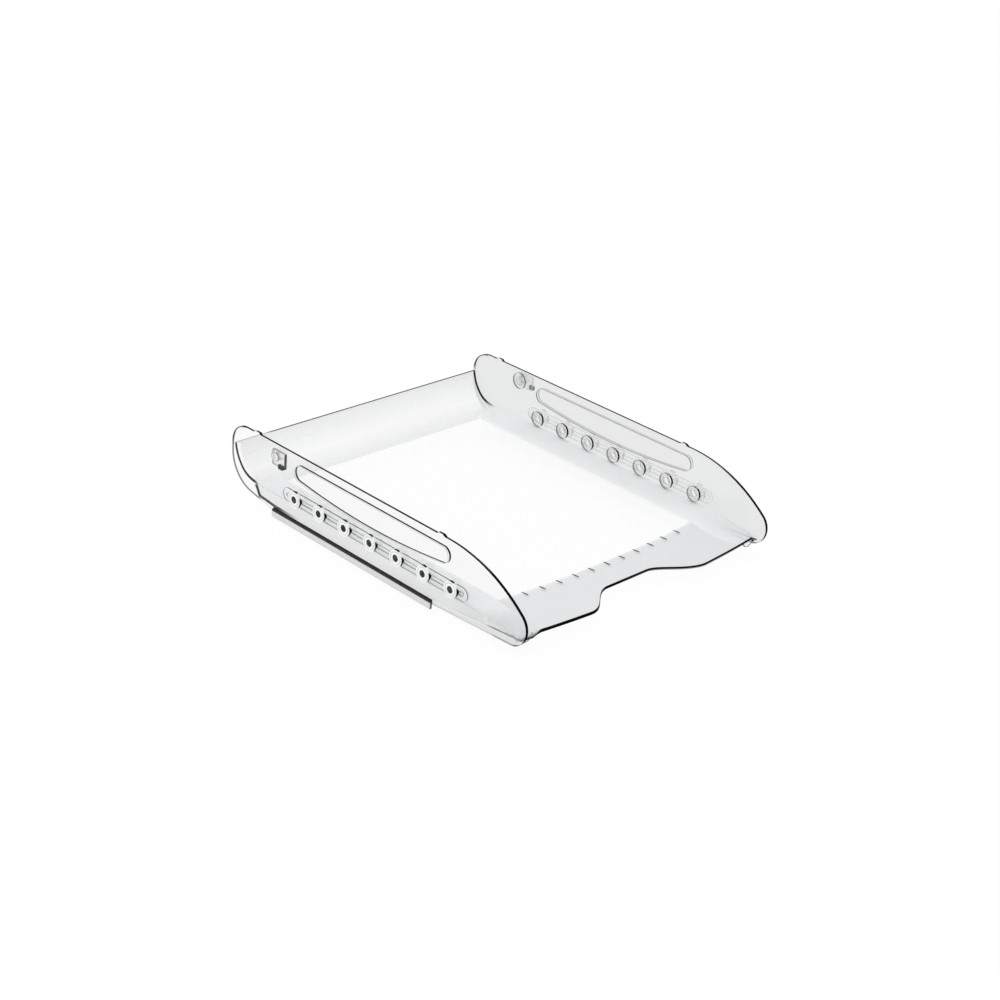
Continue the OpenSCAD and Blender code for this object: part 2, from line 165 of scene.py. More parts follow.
class Finish(bpy.types.PropertyGroup):
    """Colours and clearness of the plastic. The grey films are partly the plastic's faint haze and partly
    painted shade that stands for reflection and refraction in the clear moulding.
    """
    pan: colour("Pan", "Colour of the milky film on the pan and its ribs", (0.64, 0.65, 0.66))
    side: colour("Sides", "Colour of the film on the cheeks, rails, skirts and feet", (0.48, 0.49, 0.50))
    bush: colour("Sockets", "Colour of the film on the sockets and pins", (0.86, 0.87, 0.88))
    milk: colour("Milk", "Colour of the palest film, on the tracks, the catches and the left sockets' ends, "
                         "and mixed into the strips", (0.95, 0.955, 0.96))
    edge: colour("Edge", "Colour of the dark cut edges", (0.004, 0.004, 0.005))
    cheek_cover: share("Left cheek", "Cover of the film on each face of the left cheek", 0.02)
    # Painted shade: the right cheek, a mirror copy of the left, gets more grey film.
    right_shade_cover: share("Right cheek", "Cover of the film on each face of the right cheek", 0.155)
    # Painted reflection: a darker grey film on the lower front of both cheeks.
    reflection_cover: share("Front cheek", "Further cover of that film on the lower front of both cheeks", 0.03)
    # Painted shade: a grey film along the left cheek's lower front edge.
    low_shade_cover: share("Low cheek", "Further cover of that film along the left cheek's lower front edge", 0.18)
    skirt_cover: share("Skirts", "Cover of the film on each face of a skirt", 0.06)
    # Painted shade: more film on the skirts just behind the foot, less of it towards the back.
    skirt_shade: share("Skirts behind foot", "Further cover of that film behind the foot", 0.125)
    skirt_shade_fade: share("Skirts at back", "Part of that further cover that fades towards the back", 0.085)
    mark_cover: share("Ribs and feet", "Cover of the film on the ribs and feet", 0.05)
    rail_cover: share("Rails", "Cover of the film on each face of a rail", 0.26)
    # Painted shade: heavy grey film on the strips and the apron, standing for the reflection and refraction
    # there.
    strip_shade_cover: share("Strips", "Cover of the film on the strips beside the cheeks", 0.95)
    apron_shade_cover: share("Apron", "Cover of the film on the apron", 0.75)
    pale: share("Pale strips", "Share of the palest film in the strips", 0.6)
    ior: FloatProperty(name="Index", description="Refractive index of the plastic", default=1.49, min=1)
    soften: length("Soft edges", "Width of the rounding along the moulded edges", 0.00025)


class Stage(bpy.types.PropertyGroup):
    """Camera, floor and light."""
    azimuth: angle("Azimuth", "Turn of the camera about the tray", -46.07)
    elevation: angle("Elevation", "Rise of the camera above the table", 26.14)
    roll: angle("Roll", "Lean of the camera", 4.62)
    distance: length("Distance", "Distance from the camera to its target", 1.495)
    target: FloatVectorProperty(name="Target", description="Point that the camera looks at",
                                default=(-0.0036, -0.00705, 0.0232), subtype="XYZ")
    lens: FloatProperty(name="Lens", description="Focal length in millimetres", default=72.86)
    sensor: FloatProperty(name="Sensor", description="Width of the sensor in millimetres", default=36)
    floor_w: length("Floor width", "Width of the pale floor", 12)
    floor_drop: length("Floor drop", "Distance of the floor below the rails", 0.0003)
    glow: share("Glow", "Share of the floor's white that doesn't depend on the lamps", 0.9)


class TraySettings(bpy.types.PropertyGroup):
    """All sizes and colours of the tray."""
    pan: PointerProperty(type=PanSizes)
    ribs: PointerProperty(type=RibSizes)
    skirt: PointerProperty(type=SkirtSizes)
    feet: PointerProperty(type=FootSizes)
    socket: PointerProperty(type=SocketSizes)
    finish: PointerProperty(type=Finish)
    stage: PointerProperty(type=Stage)


def settings():
    """The tray's sizes and colours in this scene."""
    return bpy.context.scene.tray


def sided(right, left_value, right_value):
    """One value where right is 0 and another where it is 1, for arrays and for wires."""
    return left_value + (right_value - left_value) * right


# Shader expressions

class Wire:
    """An output socket in a node tree. Arithmetic on wires and numbers adds Math nodes."""

    def __init__(self, tree, socket):
        self.tree = tree
        self.socket = socket

    @classmethod
    def node(cls, tree, kind, setup=None, values=None, out=0):
        """Any node: its type, its settings, which are set first, and the values or wires of its sockets."""
        node = tree.nodes.new(kind)
        for key, value in (setup or {}).items():
            setattr(node, key, value)
        for key, value in (values or {}).items():
            if isinstance(value, cls):
                tree.links.new(value.socket, node.inputs[key])
            else:
                node.inputs[key].default_value = value
        return cls(tree, node.outputs[out] if len(node.outputs) else None)

    def math(self, operation, *values):
        return self.node(self.tree, "ShaderNodeMath", {"operation": operation}, dict(enumerate(values)))

    def __add__(self, other):
        return self.math("ADD", self, other)

    def __sub__(self, other):
        return self.math("SUBTRACT", self, other)

    def __rsub__(self, other):
        return self.math("SUBTRACT", other, self)

    def __mul__(self, other):
        return self.math("MULTIPLY", self, other)

    __radd__ = __add__
    __rmul__ = __mul__

    def __neg__(self):
        return self * -1

    def __pow__(self, other):
        return self.math("POWER", self, other)

    def __abs__(self):
        return self.math("ABSOLUTE", self)

    def least(self, other):
        return self.math("MINIMUM", self, other)

    def most(self, other):
        return self.math("MAXIMUM", self, other)

    def zigzag(self, half_pitch):
        """Distance from the nearest whole multiple of a pitch."""
        return self.math("PINGPONG", self, half_pitch)

    def step(self, low, high):
        """0 below low and 1 above high, with a smooth rise between them."""
        return self.node(self.tree, "ShaderNodeMapRange", {"interpolation_type": "SMOOTHSTEP"},
                         {"Value": self, "From Min": low, "From Max": high})

    def inside(self, low, high, soft):
        """1 between two values, with soft ends."""
        return self.step(low - soft, low + soft) * (1 - self.step(high - soft, high + soft))

    def parts(self):
        """The three numbers of a vector."""
        split = self.node(self.tree, "ShaderNodeSeparateXYZ", values={"Vector": self})
        return [Wire(self.tree, socket) for socket in split.socket.node.outputs]


def new_tree(name):
    """A new material and its empty node tree."""
    material = bpy.data.materials.new(name)
    material.use_nodes = True
    material.node_tree.nodes.clear()
    return material, material.node_tree


def place(tree):
    """Object coordinates."""
    return Wire.node(tree, "ShaderNodeTexCoord", out="Object")


def facing(tree):
    """The surface's outward direction as three wires, also where it is seen from inside the plastic."""
    normal = Wire.node(tree, "ShaderNodeNewGeometry", out="Normal")
    turn = 1 - 2 * Wire.node(tree, "ShaderNodeNewGeometry", out="Backfacing")
    return [part * turn for part in normal.parts()]


def cut_edge(tree):
    """Mask of cut edges: 0 on a piece's broad faces, which look along X, and 1 on the walls around them."""
    wall, broad = 0.6, 0.97
    return 1 - abs(facing(tree)[0]).step(wall, broad)


def right_half(x):
    """0 on the left half of the tray and 1 on the right half."""
    middle = 0.01
    return x.step(-middle, middle)


def kept(tree, name):
    """A point attribute of the piece."""
    return Wire.node(tree, "ShaderNodeAttribute", {"attribute_name": name}, out="Fac")


def blend(tree, amount, first, second):
    """A colour between two, by a wire, or by a number that is worked out here. With a wire, either colour
    may be a wire too."""
    if not isinstance(amount, Wire):
        return tuple((1 - amount) * a + amount * b for a, b in zip(first, second))
    first, second = (end if isinstance(end, Wire) else (*end, 1) for end in (first, second))
    mixed = {"Factor": amount, 6: first, 7: second}
    return Wire.node(tree, "ShaderNodeMix", {"data_type": "RGBA"}, mixed, out=2)


def plastic(name, haze_and_shade, look):
    """A clear plastic. look gets the tree and returns the film's cover on the clear faces, the mask of the
    cut edges and the share of the palest film. The film is partly the plastic's faint haze and partly painted
    shade, a grey that stands for the reflection and refraction that darken some faces. The faces pass what is
    behind them, the edges hide it, and both are polished, with faint waves, fine hairlines in the polish and
    a little more cover at grazing sight, as a real sheet has."""
    wave_scale, hair_scale, hair_part = 34, (900, 40, 260), (0.62, 0.8)
    wave_cover, hair_cover, graze_cover = 0.2, 0.01, 0.06
    polish, wave_rough, hair_rough = 0.035, 0.05, 0.2
    coat, coat_rough = 0.05, 0.04
    bump, bump_d = 0.06, 0.0004
    finish = settings().finish
    material, tree = new_tree(name)
    cover, edge, pale = look(tree)
    point = place(tree)
    waves = Wire.node(tree, "ShaderNodeTexNoise", values={"Vector": point, "Scale": wave_scale, "Detail": 2})
    stretched = Wire.node(tree, "ShaderNodeMapping", values={"Vector": point, "Scale": hair_scale})
    hairs = Wire.node(tree, "ShaderNodeTexNoise", values={"Vector": stretched, "Scale": 1, "Detail": 3})
    hairs = hairs.step(*hair_part)
    graze = Wire.node(tree, "ShaderNodeFresnel", values={"IOR": finish.ior})
    faces = cover * (1 - wave_cover / 2 + wave_cover * waves) + hair_cover * hairs + graze_cover * graze
    uneven = Wire.node(tree, "ShaderNodeBump", values={"Strength": bump, "Distance": bump_d, "Height": waves})
    shader = Wire.node(tree, "ShaderNodeBsdfPrincipled", values={
        "IOR": finish.ior,
        "Specular IOR Level": 0,
        "Coat Roughness": coat_rough,
        "Coat Weight": coat * (1 - edge),
        "Base Color": blend(tree, edge, blend(tree, pale, haze_and_shade, finish.milk), finish.edge),
        "Roughness": polish + wave_rough * waves + hair_rough * hairs,
        "Alpha": faces + edge * (1 - faces),
        "Normal": uneven,
    })
    Wire.node(tree, "ShaderNodeOutputMaterial", values={"Surface": shader})
    return material


# Surfaces

def grid_faces(rows, cols, close_rows=False, close_cols=False):
    """Corner indices of a grid's cells. A closed direction joins its last line to its first."""
    i, j = np.meshgrid(np.arange(rows - (not close_rows)), np.arange(cols - (not close_cols)), indexing="ij")
    up, on = (i + 1) % rows, (j + 1) % cols
    corners = [i * cols + j, up * cols + j, up * cols + on, i * cols + on]
    return np.stack(corners, -1).reshape(-1, 4).tolist()


def smooth(t):
    """A smooth step from 0 to 1."""
    t = np.clip(t, 0, 1)
    return t * t * (3 - 2 * t)


def rise(value, start, run):
    """A smooth step from 0 where value is at start to 1 a run further on."""
    return smooth((value - start) / run)


def spaced(stops, counts):
    """Numbers in even steps from stop to stop, counts of them with both stops, and no stop twice."""
    spans = [np.linspace(a, b, count)[:-1] for a, b, count in zip(stops, stops[1:], counts)]
    return np.concatenate([*spans, stops[-1:]])


def soft_loop(corners, radii, steps=4):
    """A closed outline with rounded corners: near each corner P the line follows the parabola
    (1-t)^2 A + 2t(1-t) P + t^2 B from the point A at that corner's radius before it to B as far behind it.
    The first two numbers of a corner are its place, and any others are carried along with it."""
    p = np.asarray(corners, float)
    before, after = np.roll(p, 1, 0) - p, np.roll(p, -1, 0) - p
    r = np.broadcast_to(radii, len(p))[:, None]
    a = p + before / np.linalg.norm(before[:, :2], axis=1, keepdims=True) * r
    b = p + after / np.linalg.norm(after[:, :2], axis=1, keepdims=True) * r
    t = np.linspace(0, 1, steps)[None, :, None]
    curve = (1 - t) ** 2 * a[:, None] + 2 * t * (1 - t) * p[:, None] + t ** 2 * b[:, None]
    return curve.reshape(-1, p.shape[1])


def turned(profile, centre, side, segments=72):
    """A surface of revolution about a line along X: the point (r, x) of the profile goes round as (side x, y
    + r cos a, z + r sin a). The profile's third to fifth numbers become the attributes that say how dark a
    wall is all round, how much painted shade it takes where it faces the front, and how much painted shade it
    takes in the bore."""
    r, x = profile[:, :1], profile[:, 1:2]
    a = np.linspace(0, 2 * math.pi, segments, endpoint=False)[None]
    points = np.stack([side * x + 0 * a, centre[0] + r * np.cos(a), centre[1] + r * np.sin(a)], -1)
    marks = {key: np.repeat(profile[:, 2 + i], segments) for i, key in enumerate(("ring", "front", "bore"))}
    return (points.reshape(-1, 3), grid_faces(len(profile), segments, True, True)), marks


def lofted(rings):
    """A closed tube through equal rings, shape (stations, points, 3), with a flat cap at each end."""
    stations, count, _ = rings.shape
    faces = grid_faces(stations, count, close_cols=True)
    caps = [list(range(count)), list(range((stations - 1) * count, stations * count))]
    return rings.reshape(-1, 3), faces + caps


def joined(parts):
    """Several meshes as one: the faces of each count on from the points before it."""
    starts = np.cumsum([0] + [len(points) for points, _ in parts])
    faces = [[k + int(start) for k in face] for (_, cells), start in zip(parts, starts) for face in cells]
    return np.concatenate([points for points, _ in parts]), faces


def unit(v):
    """Vectors of length 1."""
    return v / np.linalg.norm(v, axis=-1, keepdims=True)


def mirrored_box(node, side):
    """A node's box as it would be on the right side."""
    low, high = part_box(node)
    if side > 0:
        return low, high
    return Vector((-high.x, low.y, low.z)), Vector((-low.x, high.y, high.z))


def add_piece(name, mesh_data, material, body=BODY, attributes=None, sharp=SHARP):
    """A piece from points and faces, with point attributes, outward faces and sharp edges past an angle."""
    points, faces = mesh_data
    mesh = bpy.data.meshes.new(name)
    mesh.from_pydata(points, [], faces)
    for key, values in (attributes or {}).items():
        layer = mesh.attributes.new(key, "FLOAT", "POINT")
        layer.data.foreach_set("value", np.asarray(values, np.float32).ravel())
    shape = bmesh.new()
    shape.from_mesh(mesh)
    bmesh.ops.remove_doubles(shape, verts=shape.verts, dist=1e-7)
    bmesh.ops.recalc_face_normals(shape, faces=shape.faces)
    shape.to_mesh(mesh)
    shape.free()
    mesh.shade_smooth()
    mesh.set_sharp_from_angle(angle=math.radians(sharp))
    mesh.materials.append(material)
    piece = bpy.data.objects.new(name, mesh)
    bpy.context.scene.collection.objects.link(piece)
    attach(piece, body)
    return piece


# The pan

# Rows of the pan's grid down the back wall, along the floor with both its ends, and along the apron
BACK_ROWS, FLOOR_ROWS, APRON_ROWS = 61, 26, 34
# Two more rows of the floor, close to the back wall, as shares of the floor's depth
FLOOR_FIRST = (0.011, 0.018)
# Columns from each stop of pan_columns to the next
COLUMNS = (12, 34, 14, 26)


def bow(x):
    """How far the lip and the floor's front edge draw back from their middle: x^2 / 2R."""
    return x ** 2 / (2 * settings().pan.bow_r)


def apron_start(x):
    """Y of the floor's front edge."""
    return -HALF_D + settings().pan.apron_l + bow(x)


def lip(x):
    """Y of the lip: from the scoop's straight back edge a cosine step leads out to the bow."""
    pan = settings().pan
    t = np.clip((np.abs(x) - pan.scoop_w / 2) / pan.scoop_run, 0, 1)
    return -HALF_D + bow(x) + (pan.scoop_d - bow(x)) * (1 + np.cos(math.pi * t)) / 2


def strip(x, width, height, steep):
    """Height of the curved strip beside the cheek: s^2, or a quarter round where steep is 1, with s from
    0 at the strip's inner edge to 1 at the cheek."""
    s = np.clip((np.abs(x) - (PAN_HIGH.x - width)) / width, 0, 1)
    return height * ((1 - steep) * s ** 2 + steep * (1 - np.sqrt(1 - s ** 2)))


def apron_top(x, y):
    """Height of the apron's upper face: a parabola that dips below the floor, with the strip narrowing
    and sinking to the lip, less a quarter round that turns the lip's ends down and stops before it is
    upright. The left corner is wide and turns within a third of its width. The right end is a short hook."""
    pan = settings().pan
    near_upright = 0.98
    q = np.clip((apron_start(x) - y) / pan.apron_l, 0, 1)
    hollow = pan.apron_dip * 4 * q * (1 - q)
    width = pan.strip_w + (pan.strip_end - pan.strip_w) * q
    height = (pan.strip_rise + hollow) * (1 - q ** 2)
    end_w = np.where(x < 0, pan.corner_w, pan.hook_w)
    end_run = np.where(x < 0, pan.corner_w / 3, pan.hook_w)
    near = rise(np.abs(x), PAN_HIGH.x - end_w, end_run)
    u = np.clip((lip(x) + pan.corner_l - y) / pan.corner_l, 0, near_upright)
    drop = pan.corner_drop * near * (1 - np.sqrt(1 - u ** 2))
    return pan.floor_z - hollow + strip(x, width, height, q) - drop


def pan_rows(x):
    """The upper face, row by row from the back wall's rim to the lip, for the columns x: a circle for the
    back wall, a level floor, and the apron with rows that crowd towards the lip. Returns points of shape
    (rows, columns, 3) and the number of rows of each stretch."""
    pan = settings().pan
    middle_z = pan.floor_z + pan.back_r
    middle_y = PAN_HIGH.y - math.sqrt((pan.back_r + pan.wall) ** 2 - (middle_z - PAN_HIGH.z) ** 2)
    top = math.asin((PAN_HIGH.z - pan.nose - middle_z) / pan.back_r)
    a = np.linspace(top, -math.pi / 2, BACK_ROWS)[:, None]
    level = strip(x, pan.strip_w, pan.strip_rise, 0)[None]
    back = [middle_y + pan.back_r * np.cos(a) + 0 * x,
            middle_z + pan.back_r * np.sin(a) + level * rise(-a, math.pi / 4, math.pi / 4)]
    t = np.concatenate([FLOOR_FIRST, np.linspace(0, 1, FLOOR_ROWS)[1:-1]])[:, None]
    floor = [middle_y + t * (apron_start(x) - middle_y), pan.floor_z + level + 0 * t]
    t = np.linspace(0, 1, APRON_ROWS)[:, None]
    t = t * (3 - t) / 2
    y = apron_start(x) + t * (lip(x) + pan.nose - apron_start(x))
    front = [y, apron_top(x + 0 * t, y)]
    rows = [np.stack([x + 0 * part[0], *part], -1) for part in (back, floor, front)]
    return np.concatenate(rows), [len(part) for part in rows]


def pan_columns():
    """X of the pan's columns, which are close together at the scoop's sides and at the cheeks."""
    pan = settings().pan
    scoop = pan.scoop_w / 2
    stops = [0, scoop, scoop + pan.scoop_run, PAN_HIGH.x - pan.strip_w, PAN_HIGH.x - pan.nose / 4]
    right = np.append(spaced(stops, COLUMNS), PAN_HIGH.x)
    return np.concatenate([-right[:0:-1], right])


def nose_rows(end, along, normal, wall, reach, steps=7, power=0.5):
    """The rounded rim at the end of a wall, from its upper to its lower face: a squarish half ellipse
    M + reach |sin t|^p along + wall/2 sign(cos t) |cos t|^p normal about the middle M of the wall's end."""
    t = np.linspace(0, math.pi, steps + 2)[1:-1, None, None]
    lift = np.sign(np.cos(t)) * np.abs(np.cos(t)) ** power
    middle = end - normal * wall / 2
    return middle + reach * np.abs(np.sin(t)) ** power * along + wall / 2 * lift * normal


def pan_haze_and_shade(x, stretches):
    """Cover of the pale grey film on the upper face, and the share of the palest film in it. The film is
    painted shade over the plastic's faint haze: its grey stands for the reflection and refraction that darken
    the back wall, the strips and the apron, while the floor between the strips stays clear. The back wall's
    film is thinnest about halfway down and ends before the cheeks. The strips' film covers them from the foot
    of the wall to the lip and gets thinner along the apron, which has a film of its own."""
    pan, finish = settings().pan, settings().finish
    # Painted shade down the back wall: the film is heaviest near its rim and near its foot.
    wall_down, wall_shade = (0, 0.55, 0.97, 1), (0.50, 0.16, 0.44, 0.46)
    bare_w, bare_fade, right_run = 0.004, 0.003, 0.05
    # Start and run of the strips' fade down the wall, then runs as shares of a strip's width
    foot_fade, strip_fade, pale_fade = (0.6, 0.4), 0.12, 0.1
    # Runs as shares of the apron's length
    apron_fade, left_fade = 0.04, 0.5
    apron_middle, apron_slope = 0.94, 0.04
    left_thinner, right_thinner = 0.4, 0.2
    right_pale, right_fading = 0.9, 0.5
    n_back, n_floor, n_front = stretches
    down = np.linspace(0, 1, n_back)[:, None]
    ahead = np.linspace(0, 1, n_front)[:, None]
    right = smooth(x / right_run)
    beside = (np.abs(x) - (PAN_HIGH.x - pan.strip_w)) / pan.strip_w
    foot = rise(down, *foot_fade)
    wall = np.interp(down, wall_down, wall_shade) * (1 - rise(np.abs(x), PAN_HIGH.x - bare_w, bare_fade))
    strips = finish.strip_shade_cover * smooth(beside / strip_fade)
    apron = finish.apron_shade_cover * (apron_middle + apron_slope * x / PAN_HIGH.x) * smooth(ahead / apron_fade)
    floor = np.tile(strips, (n_floor, 1))
    floor[0] = np.maximum(wall[-1], strips)
    thinner = 1 - sided(right, left_thinner, right_thinner) * ahead
    haze_and_shade = np.concatenate([np.maximum(wall, strips * foot), floor, np.maximum(apron, strips * thinner)])
    milky = smooth(beside / pale_fade)
    paler = sided(right, 1 - smooth(ahead / left_fade), right_pale - right_fading * ahead)
    pale = finish.pale * np.concatenate([milky * foot, np.tile(milky, (n_floor, 1)), milky * paler])
    return haze_and_shade, pale


def pan_edge(x, stretches, rim_rows):
    """Mask of the pan's dark edges along its loop of rows: the lip, the rim of the back wall, the ends of
    that wall beside the cheeks, and the lip's turned down ends. The lip's line thins to the right."""
    # Start and run of fades along X, to the left in the first three and to the right in the others
    corner_fade, left_fade, rim_fade = (0.1045, 0.004), (0.117, 0.003), (0.088, 0.008)
    hook_fade, thin_fade = (0.117, 0.002), (-0.02, 0.1)
    # The same down the back wall's ends, on its upper and its lower face
    foot_fades = (0.82, 0.12), (0.9, 0.06)
    corner_rows, thin_rows = np.array([[0.5], [0.95]]), (3, 5)
    rim_loss, rim_margin, rim_power = 0.35, 0.2, 0.5
    n_back, rows = stretches[0], sum(stretches)
    down = np.linspace(0, 1, n_back)[:, None]
    not_left = 1 - rise(-x, *left_fade)
    corner = rise(-x, *corner_fade) * not_left + rise(x, *hook_fade)
    ends = []
    for fade in foot_fades:
        end = np.zeros((rows, len(x)))
        end[:n_back, [0, -1]] = 1 - rise(down, *fade)
        end[-len(corner_rows):] = corner_rows * corner
        ends.append(end)
    lower_part = np.interp(np.arange(rim_rows), thin_rows, (0, 1))[:, None]
    front = not_left * (1 - lower_part * rise(x, *thin_fade))
    round_rim = np.sin(np.linspace(rim_margin, math.pi - rim_margin, rim_rows))[:, None] ** rim_power
    back = round_rim * (1 - rim_loss * rise(-x, *rim_fade))
    return np.concatenate([ends[0], front, ends[1][::-1], back])


def pan_shell():
    """The pan as one closed shell: upper face, lip, lower face and back rim run round each column, and the
    two ends are closed. Also gives the attributes haze_and_shade (its film, painted shade over a faint haze),
    edge and pale at each point."""
    pan = settings().pan
    x = pan_columns()
    upper, stretches = pan_rows(x)
    along = unit(np.gradient(upper, axis=0) * [0, 1, 1])
    normal = np.stack([0 * along[..., 0], along[..., 2], -along[..., 1]], -1)
    lower = upper - pan.wall * normal
    front = nose_rows(upper[-1], along[-1], normal[-1], pan.wall, pan.nose)
    back = nose_rows(upper[0], -along[0], normal[0], pan.wall, pan.nose)[::-1]
    loop = np.concatenate([upper, front, lower[::-1], back])
    rows, cols = loop.shape[:2]
    n, m = len(upper), len(front)
    faces = grid_faces(rows, cols, close_rows=True)
    i = np.arange(n - 1)
    for j in (0, cols - 1):
        wall_end = np.stack([i, i + 1, 2 * n + m - 2 - i, 2 * n + m - 1 - i], -1) * cols + j
        faces += wall_end.tolist()
        faces.append([k * cols + j for k in range(n - 1, n + m + 1)])
        faces.append([k % rows * cols + j for k in range(2 * n + m - 1, rows + 1)])
    bare = np.zeros((rows - n, cols))
    haze_and_shade, pale = (np.concatenate([mark, bare]) for mark in pan_haze_and_shade(x, stretches))
    return (loop.reshape(-1, 3), faces), {"haze_and_shade": haze_and_shade, "edge": pan_edge(x, stretches, m), "pale": pale}


def pan_ribs():
    """The ribs: each is a bar of oval section that runs forward from the floor's edge, its top climbing a
    little, its foot in the apron's wall and its ends closed by the factor (1 - (2t-1)^8)^(1/2). Its top is
    marked as dark."""
    pan, ribs = settings().pan, settings().ribs
    stations, round_points, cut, power = 14, 16, 0.002, 8
    end_fade, top_fade = 0.12, (0.3, 0.3)
    middle_x = (np.arange(ribs.count) - (ribs.count - 1) / 2) * ribs.pitch
    t = np.linspace(cut, 1 - cut, stations)[:, None]
    a = np.linspace(0, 2 * math.pi, round_points, endpoint=False)[None]
    taper = np.sqrt(1 - (2 * t - 1) ** power)
    dark_top = smooth(np.minimum(t, 1 - t) / end_fade) * rise(np.sin(a), *top_fade)
    parts = []
    for x in middle_x:
        y = apron_start(x) + ribs.root - t * ribs.reach
        foot = apron_top(np.full_like(y, x), y) - pan.wall / 4
        top = pan.floor_z + ribs.rise * t
        middle, half = (top + foot) / 2, (top - foot) / 2
        across = ribs.width / 2 * taper * np.cos(a)
        parts.append(lofted(np.stack([x + across, y + 0 * a, middle + half * taper * np.sin(a)], -1)))
    return joined(parts), {"edge": np.tile(dark_top, (ribs.count, 1))}


def skirt_shell(side):
    """A skirt: a plate with a rounded lower edge, lofted along Y from under the apron to the back wall.
    Its lower edge climbs to the front in a straight line and to the back in a slow step and then a steep
    one. That edge is marked as dark at the back, and at the front on its outer half."""
    pan, skirt = settings().pan, settings().skirt
    stations, round_points, power = (16, 8, 10, 14), 9, 0.4
    # Start and run of the marks' fades, two along Y and one round the lower edge
    front_fade, back_fade, inward_fade, front_dark = (-0.121, 0.004), (0.101, 0.005), (1.5, 0.8), 0.97
    rail_low, rail_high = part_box("right_rail")
    start = -HALF_D + skirt.front
    tail = PAN_HIGH.y - pan.back_r - pan.wall + skirt.tail_start
    y = spaced([start, rail_low.y, rail_high.y, tail, tail + skirt.tail_l], stations)
    low = (skirt.low + skirt.front_rise * np.clip((rail_low.y - y) / (rail_low.y - start), 0, 1)
           + skirt.back_rise * rise(y, rail_high.y, tail - rail_high.y)
           + skirt.tail_rise * rise(y, tail, skirt.tail_l))
    inner = np.full_like(y, PAN_HIGH.x - skirt.wall)
    floor = pan.floor_z + strip(inner, pan.strip_w, pan.strip_rise, 0)
    top = np.where(y < apron_start(inner), apron_top(inner, y), floor) - pan.wall - skirt.gap
    top = np.maximum(top, low + skirt.least)
    s = np.linspace(0, math.pi, round_points)[:, None]
    across = skirt.wall / 2 * np.sign(np.cos(s)) * np.abs(np.cos(s)) ** power
    foot = np.stack([PAN_HIGH.x - skirt.wall / 2 + across + 0 * y, y + 0 * s,
                     low + skirt.edge_rise * (1 - np.sin(s) ** power)], -1)
    neck = np.minimum(low + skirt.neck, (low + top) / 2)
    walls = ((skirt.wall, neck), (skirt.wall, top), (0, top), (0, neck))
    head = np.stack([np.stack([PAN_HIGH.x - d + 0 * y, y, z], -1) for d, z in walls])
    rings = np.concatenate([foot, head]).transpose(1, 0, 2) * [side, 1, 1]
    front = front_dark * (1 - rise(y, *front_fade)) * (1 - rise(s, *inward_fade))
    edge = np.concatenate([np.maximum(front, rise(y, *back_fade) + 0 * s), 0 * head[..., 0]])
    return lofted(rings), {"edge": edge.T}


def foot_shell(name, side):
    """A foot: a bar of U section, (r cos t, r sin t) for the lower half turn of t, lofted along Y. Its
    keel sinks from the lip in a quarter sine and runs on level, and its top is hidden in the apron's
    wall. Its front end is marked with a dark loop."""
    pan, feet = settings().pan, settings().feet
    stations, round_points = 22, 33
    low, high = mirrored_box(f"{name}_foot", side)
    r, middle = (high.x - low.x) / 2, (high.x + low.x) / 2
    behind_loop = np.linspace(low.y + 2 * feet.loop_l, high.y, stations)
    y = np.concatenate([low.y + np.array([0, 0, feet.loop_l]), behind_loop])[:, None]
    inset = np.zeros_like(y)
    inset[0] = feet.front_round
    sunk = np.sin(math.pi / 2 * np.clip((y - low.y) / feet.front_run, 0, 1))
    keel = low.z + feet.front_rise * (1 - sunk)
    t = np.linspace(math.pi, 2 * math.pi, round_points)[None]
    x = middle + (r - inset) * np.cos(t)
    top = apron_top(x, y + 0 * t) - pan.wall / 2
    under = np.minimum(keel + r + (r - inset) * np.sin(t), top - feet.least)
    halves = ((x, x[:, ::-1]), (y + 0 * x, y + 0 * x), (under, top[:, ::-1]))
    rings = np.stack([np.concatenate(pair, 1) for pair in halves], -1)
    loop = np.zeros_like(rings[..., 0])
    loop[1, :round_points] = 1
    return lofted(rings * [side, 1, 1]), {"edge": loop}


# Turned pieces. A corner of a half section is its radius, its X, how dark it is all round, and how much
# painted shade it takes at the front and in the bore.

def socket_profile(low, high):
    """Half section of a socket: collar, ring groove and rim on the head, then shank, snap rim and bore. The
    bore takes painted shade as far in as a slanting sight from outside reaches."""
    s = settings().socket
    head_r = (high.y - low.y) / 2
    groove = s.bore_r + s.collar
    face, back, snap = low.x, low.x + s.head_t, high.x - s.snap_step
    deep = high.x - s.bore_shade_l
    corners = [
        (s.bore_r, face, 0.7, 0, 0),
        (groove, face, 0.5, 0, 0),
        (groove + s.lean, face + s.groove_d, 0.5, 0, 0),
        (groove + s.groove - s.lean, face + s.groove_d, 0.1, 0, 0),
        (groove + s.groove, face, 0.1, 0, 0),
        (head_r, face, 1, 0.6, 0),
        (head_r, back, 0.6, 1, 0),
        (s.shank_r, back, 0, 0, 0),
        (s.shank_r, snap, 0, 0, 0),
        (s.shank_r + s.snap_step, snap, 0.15, 0, 0),
        (s.shank_r + s.snap_step / 2, high.x, 0.15, 0, 0),
        (s.bore_r, high.x, 0, 0, 1),
        (s.bore_r, deep + s.bore_shade_fade, 0, 0, 1),
        (s.bore_r, deep, 0, 0, 0),
        (s.bore_r, back, 0, 0, 0),
    ]
    return soft_loop(corners, s.round)


